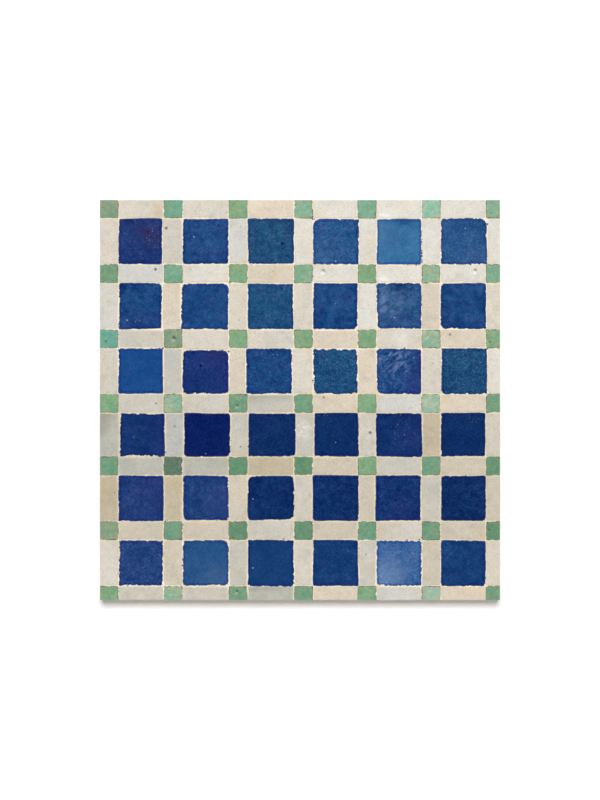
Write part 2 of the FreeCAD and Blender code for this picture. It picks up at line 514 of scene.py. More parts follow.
# Finishes. Noise is noted as size, detail, roughness and distortion, and dots as spacing
# and radius in millimetres, the share of them that show, and a shift.

def newMaterial(name):
    material = bpy.data.materials.new(name)
    material.use_nodes = True
    tree = material.node_tree
    return material, tree, tree.nodes["Principled BSDF"]


def finishMaterial(shader, colour, roughness, height, depth):
    # Joins a finish to its shader. Depth is how deep the height's full range is, in metres.
    bump = addNode(height.tree, "ShaderNodeBump", {"Height": height, "Distance": depth, "Strength": 1.0})
    join(colour, shader.inputs["Base Color"])
    join(roughness, shader.inputs["Roughness"])
    join(bump, shader.inputs["Normal"])


def dotted(tree, spacing, radius, share, shift=0.0):
    return place(dots, tree, spacing=spacing * mm, radius=radius * mm, share=share, shift=shift)


def mark(tree, label, spread, broken=0.0, **others):
    # A patch where this mark is noted for a piece
    spot = attribute(tree, label, "Vector")
    return place(smudge, tree, spot=spot, broken=broken, spread=spread, **others)


def rimMask(tree, wander, near, far, strength):
    # Strongest along the sides and gone at far, in millimetres from them
    return ramp((wander - 0.5) * 2.0 + attribute(tree, "rim"), near, far, strength, 0.0)


def openGlaze(name, look):
    # A glaze's material, the place on the sheet, and three noises from fine to coarse
    material, tree, shader = newMaterial(name)
    ground = coordinates(tree)
    noises = [noise(ground, *look[label]) for label in ("grain", "blotches", "clouds")]
    return material, tree, shader, ground, *noises


def pullTone(tree, look, pulls):
    # Each noise draws a piece's own tone one way where it is high, and another way where it is low
    colour = attribute(tree, "tone", "Color")
    for pattern, start, end, strength, above, below in pulls:
        for side, (tint, share) in ((1, above), (-1, below)):
            reached = ramp(pattern, 0.5 + side * start, 0.5 + side * end)
            colour = paint(colour, reached * (strength * share), look[tint], way="MULTIPLY")
    return colour


def washed(tree, clouds):
    return place(washMask, tree, wash=attribute(tree, "wash", "Vector"), wander=clouds)


def finishGlaze(tree, shader, look, colour, clouds, height):
    # Bare clay where the glaze is broken or ends, then how rough and how uneven it all is
    bare = place(bareClay, tree, broken_from=0.7)
    colour = paint(colour, bare["Mask"], bare["Color"])
    roughness = mix(bare["Mask"], ramp(clouds, 0.3, 0.7, *look["roughness"]), 0.85)
    height = bare["Height"] * (bare["Mask"] * 0.6) + height
    finishMaterial(shader, colour, roughness, height, 0.3 * mm)


blueGlaze = {
    "hazeAndSheen": srgb(136, 158, 196),  # milky glaze, and painted sheen where the glaze's waves would mirror the light
    "violet": srgb(44, 50, 118),  # where the cobalt fired towards violet
    "stain": srgb(52, 32, 74),
    "gold": srgb(128, 136, 62),
    "drops": srgb(52, 118, 160),
    "flecks": srgb(186, 194, 200),
    "pit": srgb(12, 24, 62),
    # These multiply a piece's own tone
    "lighter": (1.50, 1.24, 1.13, 1.0),
    "deeper": (0.60, 0.78, 0.87, 1.0),
    "warmer": (1.60, 0.86, 1.00, 1.0),
    "cooler": (0.62, 1.08, 1.00, 1.0),
    "spark": (1.85, 1.50, 1.30, 1.0),
    "dusk": (0.40, 0.55, 0.70, 1.0),
    "rim": (0.42, 0.62, 0.92, 1.0),
    "grain": (1.4 * mm, 3.0, 0.6),
    "blotches": (3.8 * mm, 2.0, 0.55, 0.5),
    "clouds": (12 * mm, 2.0, 0.55, 0.6),
    "drift": (8 * mm, 2.0, 0.5, 0.3),
    "specks": {"gold": (2.3, 0.3, 0.4), "drops": (2.6, 0.4, 0.4), "flecks": (3.6, 0.4, 0.4)},
    "strays": (9, 0.5, 0.03),
    "pits": (11, 0.7, 0.08, 0.37),
    "rimWidth": 2.1,  # millimetres of darker glaze along the sides
    "thinWidth": 1.15,  # and of these, where it ran thin over the very edge
    "roughness": (0.12, 0.26),
}


def makeBlueGlaze():
    look = blueGlaze
    material, tree, shader, ground, grain, blotches, clouds = openGlaze("blueGlaze", look)
    drift = noise(vector("ADD", ground, (0.31, 0.17, 0.0)), *look["drift"])
    cloudy, blotchy, grainy = split(attribute(tree, "pattern", "Vector"))
    colour = pullTone(tree, look, (
        (clouds, 0.0, 0.16, cloudy, ("lighter", 0.8), ("deeper", 0.8)),
        (drift, 0.02, 0.18, cloudy, ("warmer", 0.5), ("cooler", 0.5)),
        (blotches, 0.0, 0.16, blotchy, ("lighter", 0.8), ("deeper", 0.9)),
        (grain, 0.0, 0.16, grainy, ("spark", 0.8), ("dusk", 0.8)),
    ))
    colour = paint(colour, washed(tree, clouds), look["violet"])
    # Pale milky glaze, and painted sheen where the wavy glaze would mirror the light
    torn = attribute(tree, "torn")
    hazeAndSheen = mark(tree, "hazeAndSheen", mix(torn, 0.031, 0.019), torn, break_size=0.0034, stretch=0.4)
    colour = paint(colour, hazeAndSheen, look["hazeAndSheen"])
    colour = paint(colour, mark(tree, "dusk", 0.016, 0.6, squash=1.5), look["dusk"], way="MULTIPLY")
    colour = paint(colour, mark(tree, "stain", 0.018, 0.8), look["stain"])
    for label, specks in look["specks"].items():
        colour = paint(colour, dotted(tree, *specks) * mark(tree, label, 0.013), look[label])
    for label, tint in (("spot", "pit"), ("glint", "drops")):
        colour = paint(colour, ramp(mark(tree, label, 0.0022), 0.1, 0.7), look[tint])
    colour = paint(colour, dotted(tree, *look["strays"]), look["flecks"], 0.6)
    pits = dotted(tree, *look["pits"])
    colour = paint(colour, pits, look["pit"], 0.8)
    colour = paint(colour, rimMask(tree, grain, 0.9, look["rimWidth"], 1.0), look["rim"], way="MULTIPLY")
    colour = paint(colour, ramp(attribute(tree, "rim"), 0.0, look["thinWidth"], 0.1, 0.0), look["hazeAndSheen"])
    finishGlaze(tree, shader, look, colour, clouds, grain * 0.18 - pits)
    return material


ivoryGlaze = {
    # milk: the colour of the painted sheen, glints and highlights
    "milk": srgb(243, 242, 238),
    "tan": srgb(200, 172, 124),
    # slate: painted shade, laid towards one side of sunken strips
    "slate": srgb(150, 151, 138),
    "dirt": srgb(166, 150, 126),
    "pit": srgb(96, 98, 126),
    "edge": srgb(228, 214, 186),
    # These multiply a piece's own tone
    "paler": (1.07, 1.08, 1.11, 1.0),
    "duller": (0.86, 0.86, 0.87, 1.0),
    "warmer": (1.02, 0.97, 0.89, 1.0),
    "greyer": (0.94, 0.97, 1.01, 1.0),
    "grain": (0.9 * mm, 3.0, 0.7),
    "blotches": (3.6 * mm, 2.0, 0.6, 0.4),
    "clouds": (11 * mm, 3.0, 0.55, 0.4),
    "drift": (11 * mm, 2.0, 0.55, 0.4),
    "specks": (3.5, 0.45, 0.22),
    "pits": (16, 0.7, 0.05, 0.11),
    "roughness": (0.36, 0.50),
}


def makeIvoryGlaze():
    look = ivoryGlaze
    material, tree, shader, ground, grain, blotches, clouds = openGlaze("ivoryGlaze", look)
    drift = noise(vector("ADD", ground, (0.23, 0.41, 0.0)), *look["drift"])
    colour = pullTone(tree, look, (
        (clouds, 0.0, 0.2, 1.0, ("paler", 0.6), ("duller", 0.6)),
        (drift, 0.0, 0.2, 1.0, ("warmer", 0.7), ("greyer", 0.6)),
        (blotches, 0.0, 0.2, 1.0, ("duller", 0.4), ("paler", 0.4)),
        (grain, 0.0, 0.16, 1.0, ("duller", 1.0), ("paler", 1.0)),
    ))
    # Painted shade: darker towards one side of a strip, where a sunken strip falls in shade
    colour = paint(colour, washed(tree, clouds), look["slate"])
    colour = paint(colour, mark(tree, "stain", 0.011, 0.3), look["tan"])
    # Painted sheen and glints in milk white
    colour = paint(colour, mark(tree, "hazeAndSheen", 0.011, attribute(tree, "torn")), look["milk"])
    colour = paint(colour, mark(tree, "glint", 0.007, squash=2.8), look["milk"])
    dimples = place(dimple, tree, spot=attribute(tree, "dent", "Vector"))
    # Painted shade inside the dent, and a painted highlight on its lower side
    colour = paint(colour, dimples["Dent"], look["dirt"], 0.7)
    colour = paint(colour, dimples["Highlight"], look["milk"])
    colour = paint(colour, dotted(tree, *look["specks"]), look["dirt"], 0.25)
    colour = paint(colour, ramp(mark(tree, "spot", 0.0022), 0.1, 0.9), look["pit"])
    pits = dotted(tree, *look["pits"])
    colour = paint(colour, pits, look["pit"], 0.7)
    colour = paint(colour, rimMask(tree, blotches, 0.1, 1.1, 0.4), look["edge"])
    finishGlaze(tree, shader, look, colour, clouds, grain * 0.25 - pits - dimples["Dent"] * 2.0)
    return material


greenGlaze = {
    # haze: paler glaze and painted sheen, also the painted highlight below dents
    "hazeAndSheen": srgb(206, 220, 204),
    "edge": srgb(150, 132, 110),
    "shadow": srgb(72, 70, 108),  # dark navy along some stretches of the rims
    "pit": srgb(84, 80, 70),
    # These multiply a piece's own tone
    "lighter": (1.22, 1.15, 1.20, 1.0),
    "deeper": (0.74, 0.84, 0.78, 1.0),
    "warmer": (1.26, 1.00, 0.95, 1.0),
    "cooler": (0.78, 1.00, 1.05, 1.0),
    "grain": (1.1 * mm, 3.0, 0.65),
    "blotches": (3.2 * mm, 2.0, 0.6, 0.4),
    "clouds": (7 * mm, 2.0, 0.6, 0.4),
    "pits": (14, 0.6, 0.2, 0.71),
    "roughness": (0.29, 0.42),
}


def makeGreenGlaze():
    look = greenGlaze
    material, tree, shader, _, grain, blotches, clouds = openGlaze("greenGlaze", look)
    grainy = split(attribute(tree, "pattern", "Vector"))[2]
    colour = pullTone(tree, look, (
        (clouds, 0.0, 0.16, 1.0, ("warmer", 0.7), ("cooler", 0.7)),
        (blotches, 0.0, 0.16, 1.0, ("lighter", 0.7), ("deeper", 0.6)),
        (grain, 0.0, 0.16, grainy, ("lighter", 1.0), ("deeper", 1.0)),
    ))
    # Painted sheen and paler glaze in streaks and patches
    colour = paint(colour, mark(tree, "hazeAndSheen", 0.008, attribute(tree, "torn"), stretch=0.5), look["hazeAndSheen"])
    dimples = place(dimple, tree, spot=attribute(tree, "dent", "Vector"))
    # Painted shade inside the dent, in the pits' colour, and a painted highlight on its lower side
    colour = paint(colour, dimples["Dent"], look["pit"], 0.7)
    colour = paint(colour, dimples["Highlight"], look["hazeAndSheen"], 0.35)
    pits = dotted(tree, *look["pits"])
    colour = paint(colour, pits, look["pit"], 0.8)
    rimColour = mix(ramp(clouds, 0.5, 0.6), look["edge"], look["shadow"], "RGBA")
    colour = paint(colour, rimMask(tree, blotches, 0.1, 0.8, 0.8), rimColour)
    finishGlaze(tree, shader, look, colour, clouds, grain * 0.25 - pits - dimples["Dent"] * 2.0)
    return material


mortarLook = {
    "cream": srgb(250, 240, 216),
    "sand": srgb(229, 210, 176),
    "grit": srgb(196, 174, 144),
    "crumb": srgb(66, 72, 122),  # crumbs of blue glaze from the chiselling, pressed into the joints
    "duller": (0.85, 0.83, 0.79, 1.0),  # multiplies the rest, darker over a band across the lower part of the sheet
    "dullUp": ((14 * mm, -4 * mm), (-130 * mm, -105 * mm)),  # where that starts and ends, up the sheet
    "grain": (0.9 * mm, 4.0, 0.75),
    "patches": (12 * mm, 3.0, 0.6),
    "holes": (6, 0.6, 0.25),
    "crumbs": (2.2, 0.7, 0.5),
    "roughness": (0.88, 0.96),
}


def makeMortar():
    material, tree, shader = newMaterial("mortar")
    look = mortarLook
    ground = coordinates(tree)
    grain, patches = noise(ground, *look["grain"]), noise(ground, *look["patches"])
    colour = mix(ramp(patches, 0.5, 0.75), look["cream"], look["sand"], "RGBA")
    colour = paint(colour, ramp(grain, 0.54, 0.7), look["grit"], 0.6)
    holes = dotted(tree, *look["holes"])
    colour = paint(colour, holes, look["grit"], 0.5)
    _, up, height = split(ground)
    up = (patches - 0.5) * 0.05 + up
    start, end = look["dullUp"]
    colour = paint(colour, ramp(up, *start) * ramp(up, *end), look["duller"], way="MULTIPLY")
    crumbs = dotted(tree, *look["crumbs"]) * ramp(noise(ground, 11 * mm), 0.57, 0.66)
    inJoints = ramp(height, faceHeight - 2 * mm, faceHeight - 1 * mm)
    colour = paint(colour, crumbs * inJoints, look["crumb"])
    finishMaterial(shader, colour, ramp(grain, 0.3, 0.7, *look["roughness"]), grain - holes, 0.4 * mm)
    return material


dots = dotsGroup()
smudge = smudgeGroup()
dimple = dimpleGroup()
washMask = washGroup()
bareClay = bareClayGroup()
materials = {
    "blue": makeBlueGlaze(),
    "ivory": makeIvoryGlaze(),
    "green": makeGreenGlaze(),
    "mortar": makeMortar(),
}
handCut = handCutTree()
print("finishes made")


# The pieces. Lanes and columns count from the top left, and 35 is lane 3's fifth piece.

def jitter(colour, luck, amount):
    # The same glaze a little lighter or darker, as each firing leaves it
    scale = 1 + luck.uniform(-amount, amount)
    warm = luck.uniform(-amount, amount) / 3
    return [colour[0] * scale * (1 + warm), colour[1] * scale, colour[2] * scale * (1 - warm), 1.0]


def chosen(groups, spot, usual):
    # What the noted groups say of one piece, or else what is usual
    return next((value for value, spots in groups.items() if spot in spots), usual)


def dressPiece(piece, look, notes, spot, luck):
    # Tone, cut, lean and corners, part by chance and part as noted
    shade = chosen(notes["oddOnes"], spot, notes["laneShades"][spot // 10 - 1])
    piece["tone"] = jitter(look["shades"][shade], luck, look["unevenness"])
    piece["roughCut"] = luck.uniform(*look["cut"]) * chosen(notes.get("sides", {}), spot, 1.0)
    piece["lean"] = [luck.uniform(-1, 1) * look["lean"] for _ in range(2)] + [0]
    usual = [look["cornerRadius"] * luck.uniform(0.5, 1.5) for _ in cornerNames]
    special = notes.get("corners", {}).get(spot, {})
    piece["radii"] = [special.get(name, radius) * mm for name, radius in zip(cornerNames, usual)]


def addMarks(piece, notes, spot):
    # The noted marks of one piece, with their places turned into places on the sheet
    for label in ("pattern", "wash", "waviness"):
        if spot in notes.get(label, {}):
            piece[label] = notes[label][spot]
    half = piece["corners"][2] - piece["middle"]
    for label in faceMarks:
        if spot in notes.get(label, {}):
            right, up, strength, *torn = notes[label][spot]
            if torn:
                piece["torn"] = torn[0]
            piece[label] = (piece["middle"].x + right * half.x, piece["middle"].y + up * half.y, strength)


def makeLayout(name, pieces):
    # One point for each piece, which carries what the tree and the glaze need to know about it
    for i, piece in enumerate(pieces):
        for label, corner in zip(cornerNames, piece["corners"]):
            piece[label] = corner.to_3d()
        onEdge = [abs(abs(value) - sheetHalf) < 1e-5 for corner in piece["corners"] for value in corner]
        piece["sawnLow"] = [float(onEdge[0] and onEdge[6]), float(onEdge[1] and onEdge[3]), 0]
        piece["sawnHigh"] = [float(onEdge[2] and onEdge[4]), float(onEdge[5] and onEdge[7]), 0]
        piece["seed"] = i * 0.37 + len(name) * 0.11 + abs(piece["middle"].y) * 7
    vectors = (*cornerNames, "sawnLow", "sawnHigh", "lean", "pattern", "wash", *faceMarks)
    kinds = (
        ("FLOAT_VECTOR", "vector", vectors, (0, 0, 0)),
        ("FLOAT_COLOR", "color", ("tone", "radii"), (0, 0, 0, 0)),
        ("FLOAT", "value", ("seed", "back", "roughCut", "waviness", "torn"), 1.0),
    )
    mesh = bpy.data.meshes.new(name)
    mesh.from_pydata([(0, 0, 0)] * len(pieces), [], [])
    for kind, field, labels, usual in kinds:
        for label in labels:
            made = mesh.attributes.new(label, kind, "POINT")
            for i, piece in enumerate(pieces):
                setattr(made.data[i], field, piece.get(label, usual))
    return mesh


def cutPieces(name, pieces, block, look, replaced):
    # Runs the tree over a layout, keeps the result as a plain mesh and ties it to the frame
    made = addObject(name, makeLayout(name, pieces))
    modifier = made.modifiers.new("handCut", "NODES")
    modifier.node_group = handCut
    given = {label: size * mm for label, size in look["sizes"].items()}
    given.update({"Block": block, "Material": materials[look["material"]]})
    for item in handCut.interface.items_tree:
        if item.in_out == "INPUT" and item.name in given:
            modifier[item.identifier] = given[item.name]
    graph = bpy.context.evaluated_depsgraph_get()
    finished = made.evaluated_get(graph)
    mesh = bpy.data.meshes.new_from_object(finished, preserve_all_data_layers=True, depsgraph=graph)
    made.modifiers.clear()
    made.data = mesh
    for label in (*cornerNames, "sawnLow", "sawnHigh", "lean", "radii", "seed"):
        mesh.attributes.remove(mesh.attributes[label])
    bpy.data.objects.remove(block)
    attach(made, "root")
    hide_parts(*replaced)
    triangles = sum(len(face.vertices) - 2 for face in mesh.polygons)
    print(f"{name}: {len(pieces)} pieces, {triangles} triangles")


def makePieces(name, look, notes, addLuck):
    # Makes the pieces of one kind, so many lanes to a mesh. A lane's nodes start with the same words.
    firsts = range(1, notes["lanes"] + 1, notes["together"])
    for number, first in enumerate(firsts, 1):
        pieces, replaced = [], []
        for lane in range(first, min(first + notes["together"], notes["lanes"] + 1)):
            names = sorted(node for node in nodes if node.startswith(f"{notes['nodes']}{lane}"))
            row = sorted(readPieces(names), key=lambda piece: piece["middle"].x)
            for column, piece in enumerate(row, 1):
                spot = 10 * lane + column
                luck = random.Random(f"{notes['seed']} {lane} {column}")
                dressPiece(piece, look, notes, spot, luck)
                addLuck(piece, luck)
                addMarks(piece, notes, spot)
            pieces += row
            replaced += names
        block = makeBlock(*notes["cells"], sideRings, look["crowding"])
        cutPieces(f"{name}{number}", pieces, block, look, replaced)


sideRings = (0.03, 0.1, 0.3, 0.65, 1.0)

blueSquares = {
    "nodes": "blue_square_r",
    "seed": "blue square",
    "lanes": 6,  # rows, here
    "together": 1,  # lanes that make one mesh
    "cells": (50, 50),
    "crowding": 0.6,
    "material": "blue",
    "slot": "blue_glaze",
    "shades": {
        "cobalt": srgb(28, 70, 124), "bright": srgb(25, 74, 136), "teal": srgb(32, 77, 119),
        "azure": srgb(33, 74, 127), "denim": srgb(38, 82, 132), "steel": srgb(53, 110, 157),
        "slate": srgb(44, 87, 134), "pale": srgb(56, 98, 151), "royal": srgb(36, 67, 122),
        "indigo": srgb(30, 57, 116), "ink": srgb(25, 52, 114), "navy": srgb(13, 46, 98),
        "night": srgb(18, 50, 107), "deepest": srgb(7, 30, 93), "marine": srgb(20, 60, 113),
        "harbour": srgb(29, 62, 117),
    },
    "laneShades": ["cobalt", "cobalt", "teal", "navy", "navy", "marine"],
    "oddOnes": {
        "bright": [31], "teal": [13, 23], "cobalt": [33], "azure": [35], "denim": [14, 16, 62],
        "steel": [15], "slate": [25], "pale": [65], "indigo": [11, 51], "royal": [61], "harbour": [52],
        "ink": [32], "night": [41, 45, 55], "deepest": [42],
    },
    "unevenness": 0.04,
    "cut": (0.7, 1.25),
    # Squares whose sides were cut rougher or cleaner than the others, and by how much
    "sides": {
        1.5: [16, 24, 25, 34, 36, 41, 53, 61, 63, 65],
        0.7: [13, 15, 21, 23, 44, 46, 56],
    },
    # How cloudy, blotchy and grainy a face is, 1 being the strongest that is common
    "pattern": {
        15: (0.9, 0.4, 0.35), 21: (1.3, 1.2, 0.7), 24: (1.4, 1.1, 0.6), 25: (1.0, 1.4, 0.9),
        26: (1.3, 1.1, 0.6), 31: (0.4, 0.2, 0.5), 33: (1.0, 0.9, 1.0), 34: (0.8, 0.9, 1.3),
        35: (1.2, 2.2, 1.4), 36: (0.8, 0.9, 1.3), 42: (0.6, 0.6, 0.9), 43: (0.7, 0.7, 0.9),
        44: (0.5, 0.6, 0.8), 46: (0.5, 0.6, 0.8), 54: (0.9, 2.1, 1.0), 55: (1.0, 1.5, 0.9),
        56: (0.9, 2.1, 1.0), 63: (0.5, 0.4, 0.4), 62: (0.6, 0.4, 0.4), 65: (0.7, 0.9, 0.8),
    },
    # Marks on a face: how far right and up of its middle, from -1 to 1, and how strong
    "hazeAndSheen": {  # pale glaze and painted sheen; and last, how broken up
        14: (-0.6, -1.0, 0.10, 0.4), 15: (-0.9, 0.5, 0.12, 0.2), 16: (0.6, -1.0, 0.10, 0.4),
        25: (-0.6, 0.2, 0.45, 0.85), 35: (-0.3, 0.6, 0.75, 1.0), 51: (-0.2, -0.1, 0.06, 0.9),
        52: (1.0, -0.3, 0.06, 0.5), 62: (0.8, -0.9, 0.15, 0.3), 65: (-0.7, -0.6, 0.52, 0.25),
    },
    "wash": {  # towards violet
        12: (0.4, -0.9, 0.2), 21: (0.3, -1.2, 0.25), 25: (0.0, -1.4, 0.2), 32: (1.0, 0.3, 0.25),
        35: (1.2, -0.4, 0.5), 41: (0.9, 0.0, 0.2), 45: (0.8, 0.3, 0.25), 51: (0.8, 0.4, 0.3),
        52: (1.1, 0.0, 0.25), 55: (0.6, -0.6, 0.2),
    },
    "stain": {11: (0.6, 0.3, 1.0), 32: (0.6, 1.0, 0.4)},
    "dusk": {
        11: (-0.3, 1.0, 1.2), 13: (0.9, 0.8, 1.2), 15: (0.3, 1.1, 2.0), 21: (-0.9, 0.8, 1.2),
        24: (0.8, -0.8, 1.0), 25: (0.1, 0.9, 2.0), 26: (-0.8, -0.8, 1.2), 35: (-0.1, 0.5, 0.6),
        45: (0.0, 1.0, 0.8),
    },
    "gold": {11: (0.5, 0.3, 1.0), 44: (-0.6, 0.9, 0.7), 45: (0.0, 0.7, 0.8), 46: (0.6, 0.9, 0.7)},
    "drops": {24: (0.9, -0.2, 0.5), 26: (-0.9, -0.2, 0.5), 64: (0.6, 0.5, 0.8), 66: (-0.6, 0.5, 0.8)},
    "flecks": {
        21: (-0.6, -0.6, 0.7), 33: (0.2, 0.9, 0.5), 34: (-0.9, 0.9, 0.9), 35: (0.9, 0.9, 0.6),
        36: (0.9, 0.9, 0.9), 45: (0.2, 0.0, 0.4), 65: (-0.8, -0.8, 0.8),
    },
    "spot": {13: (0.5, -0.1, 0.9), 23: (0.5, 0.8, 0.6), 32: (-0.2, 0.3, 0.9), 55: (-0.1, -0.1, 0.7)},
    "glint": {12: (0.2, 0.35, 0.4), 32: (-0.12, 0.37, 0.4), 41: (-0.4, -0.1, 0.4)},
    "waviness": {35: 3.5, 25: 1.6, 65: 1.6},
    "cornerRadius": 1.3,  # millimetres, like the odd corners below
    "corners": {
        12: {"southWest": 2.4}, 13: {"southWest": 2.4}, 14: {"northWest": 5.4}, 16: {"northEast": 5.4},
        21: {"northEast": 3.6}, 22: {"northEast": 4.0, "northWest": 3.2}, 24: {"southEast": 3.6},
        26: {"southWest": 3.6, "northWest": 2.6},
        32: {"northEast": 5.0, "northWest": 3.0, "southEast": 2.8, "southWest": 2.8},
        33: {"northEast": 2.4}, 35: {"southWest": 4.0, "northWest": 2.4},
        42: {"southEast": 3.6, "southWest": 2.2}, 52: {"southWest": 3.4},
        53: {"northEast": 3.4, "northWest": 4.4, "southEast": 2.8, "southWest": 2.4},
        54: {"southWest": 2.4}, 56: {"southEast": 3.2},
        62: {"northEast": 5.6, "northWest": 2.6, "southEast": 3.0, "southWest": 2.8},
        66: {"southEast": 2.6, "southWest": 2.4},
    },
    "lean": 0.06 * mm,
    "sizes": {  # millimetres
        "Top height": faceHeight / mm, "Chip depth": 0.7, "Chip size": 2.9, "Chip reach": 1.1,
        "Fullness": 0.48, "Bow": 0.45, "Bow size": 34, "Rim width": 0.7, "Rim drop": 0.1, "Crown": 0.03,
        "Wave height": 0.12, "Wave size": 13,
    },
}


def blueLuck(piece, luck):
    piece["pattern"] = [luck.uniform(0.7, 1.1), luck.uniform(0.7, 1.1), luck.uniform(0.6, 1.0)]


ivoryStrips = {
    "crowding": 0.55,
    "material": "ivory",
    "slot": "ivory_glaze",
    "shades": {
        "milk": srgb(227, 222, 210), "cream": srgb(219, 211, 196), "blush": srgb(229, 215, 194),
        "sand": srgb(221, 208, 188), "dove": srgb(214, 212, 203), "stone": srgb(209, 203, 190),
        "wheat": srgb(210, 200, 181), "tan": srgb(199, 186, 160), "pebble": srgb(202, 198, 185),
        "ash": srgb(190, 189, 177), "pewter": srgb(190, 190, 184),
    },
    "unevenness": 0.025,
    "cut": (0.6, 1.2),
    "cornerRadius": 0.9,
    "lean": 0.08 * mm,
    "sizes": {  # millimetres
        "Top height": faceHeight / mm - 0.02, "Chip depth": 0.5, "Chip size": 3.2, "Chip reach": 0.8,
        "Fullness": 0.08, "Bow": 0.12, "Rim width": 0.7, "Rim drop": 0.12, "Crown": 0.04,
        "Wave height": 0.12, "Wave size": 11,
    },
}

acrossStrips = {
    "nodes": "ivory_strips_across_",
    "seed": "ivory_strips_across",
    "lanes": 7,
    "together": 3,
    "cells": (46, 18),
    "laneShades": ["milk", "milk", "sand", "sand", "wheat", "wheat", "sand"],
    "oddOnes": {
        "cream": [11, 12, 32, 33, 35], "blush": [13], "sand": [23], "dove": [21, 45, 75],
        "stone": [31, 41, 42, 63, 65, 71, 72], "pebble": [43, 55], "ash": [51, 52, 73], "tan": [53],
    },
    # Painted shade, darker towards one side: how far right, how far up, how strong
    "wash": {43: (-0.3, 0.8, 0.5), 73: (-0.3, 0.8, 0.5), 52: (0.4, 0.6, 0.2)},
    "stain": {11: (0.9, -0.1, 0.6), 23: (0.2, 0.0, 0.2), 53: (0.0, 0.3, 0.1), 65: (-0.9, 0.2, 0.3)},
    "spot": {21: (0.65, 0.5, 0.9), 22: (-0.66, 0.5, 0.4), 23: (0.1, 0.3, 0.4)},
    # Painted sheen and paler glaze
    "hazeAndSheen": {
        15: (-0.6, -0.8, 0.7, 0.6), 24: (0.6, -0.5, 0.3, 0.6), 25: (-0.6, -0.8, 0.7, 0.6),
        35: (0.1, 0.1, 0.5, 0.7), 65: (0.7, 0.0, 0.3, 0.5),
    },
    # Dents, painted with shade inside and a highlight below
    "dent": {24: (-0.55, 0.35, 1.0), 26: (0.55, 0.35, 1.0)},
    "glint": {15: (-0.7, -0.65, 1.0), 25: (-0.7, -0.7, 1.0)},
}

uprightStrips = {
    "nodes": "ivory_strips_upright_",
    "seed": "ivory_strips_upright",
    "lanes": 6,
    "together": 2,
    "cells": (18, 46),
    "laneShades": ["milk", "cream", "cream", "stone", "wheat", "stone"],
    "oddOnes": {
        "cream": [11, 34, 61, 64, 67], "stone": [12, 31, 54], "dove": [13, 21], "sand": [22, 26, 33, 35],
        "milk": [25, 37], "pebble": [32, 43, 44, 56, 63], "ash": [41], "pewter": [42],
        "tan": [46, 51, 52], "wheat": [55, 62, 66],
    },
    # Painted shade, darker towards one side: how far right, how far up, how strong
    "wash": {41: (-0.4, 0.7, 0.85)},
    # Painted sheen and paler glaze
    "hazeAndSheen": {44: (-0.2, 0.2, 0.6, 0.8), 45: (-0.4, 0.1, 0.5, 0.8), 65: (0.3, 0.3, 0.3, 0.6)},
    "stain": {14: (0.3, -0.5, 0.2), 15: (0.0, -0.5, 0.15), 51: (-0.5, 0.2, 0.2), 65: (0.8, -0.2, 0.4)},
    "spot": {
        12: (-0.63, 0.6, 0.9), 23: (0.1, -0.6, 0.4), 36: (0.1, 0.35, 0.4), 42: (0.0, 0.4, 0.6),
        45: (0.4, 0.1, 0.9),
    },
}


def ivoryLuck(piece, luck):
    # Most strips are a little brown towards one corner
    end = piece["corners"][luck.choice((0, 1, 2, 3))]
    piece["stain"] = [end.x, end.y, luck.uniform(0, 0.25)]


greenSquares = {
    "nodes": "green_squares_",
    "seed": "green square",
    "lanes": 7,
    "together": 4,
    "cells": (18, 18),
    "crowding": 0.5,
    "material": "green",
    "slot": "green_glaze",
    "shades": {
        "sage": srgb(131, 167, 129), "bloom": srgb(140, 174, 145), "jade": srgb(131, 171, 142),
        "foam": srgb(155, 194, 168), "turquoise": srgb(121, 165, 138), "aqua": srgb(115, 168, 149),
        "mint": srgb(149, 178, 150), "frost": srgb(163, 186, 160), "moss": srgb(134, 157, 130),
        "leaf": srgb(116, 156, 126), "deep": srgb(103, 145, 113), "gritty": srgb(97, 123, 105),
    },
    "laneShades": ["bloom", "sage", "sage", "leaf", "deep", "deep", "leaf"],
    "oddOnes": {
        "moss": [11, 32, 61], "turquoise": [12, 22], "jade": [15, 24, 27], "foam": [16],
        "sage": [13, 41, 45, 55, 71, 75], "aqua": [31], "mint": [26, 36, 42, 72], "frost": [46, 76],
        "leaf": [21, 51, 56, 62, 65, 66], "gritty": [52],
    },
    "unevenness": 0.03,
    "cut": (0.6, 1.3),
    "pattern": {52: (1, 1, 2.2), 26: (1, 1, 1.2), 57: (1, 1, 1.2)},
    # Painted sheen, and paler glaze in streaks
    "hazeAndSheen": {36: (-0.2, 0.3, 1.0, 1.0), 46: (-0.4, 0.4, 0.15, 0.5), 76: (0.2, 0.2, 0.3, 0.5)},
    # Dents, painted with shade inside and a highlight below
    "dent": {32: (0.1, 0.1, 1.0), 43: (-0.1, -0.2, 0.6), 73: (-0.1, 0.3, 0.6)},
    "cornerRadius": 1.2,
    "lean": 0.06 * mm,
    "sizes": {  # millimetres
        "Top height": faceHeight / mm - 0.03, "Chip depth": 0.7, "Chip size": 2.8, "Chip reach": 0.9,
        "Fullness": 0.28, "Bow": 0.2, "Rim width": 0.6, "Rim drop": 0.16, "Crown": 0.03,
        "Wave height": 0.1, "Wave size": 9,
    },
}


def greenLuck(piece, luck):
    piece["pattern"] = [1, 1, luck.uniform(0.5, 0.9)]


mortarBed = {
    "material": "mortar",
    "slot": "mortar",
    "edgeInset": 0.2 * mm,  # so that the sawn clay stands just proud of the mortar at the sheet's sides
    "cells": (250, 250),
    "rings": (0.25, 0.5, 0.75, 1.0),
    "sizes": {  # millimetres
        "Top height": faceHeight / mm - 0.46, "Chip depth": 0.1, "Bow": 0.0, "Rim drop": 0.0,
        "Crown": 0.0, "Wave height": 0.12, "Wave size": 3, "Undercut": 0.0,
    },
}


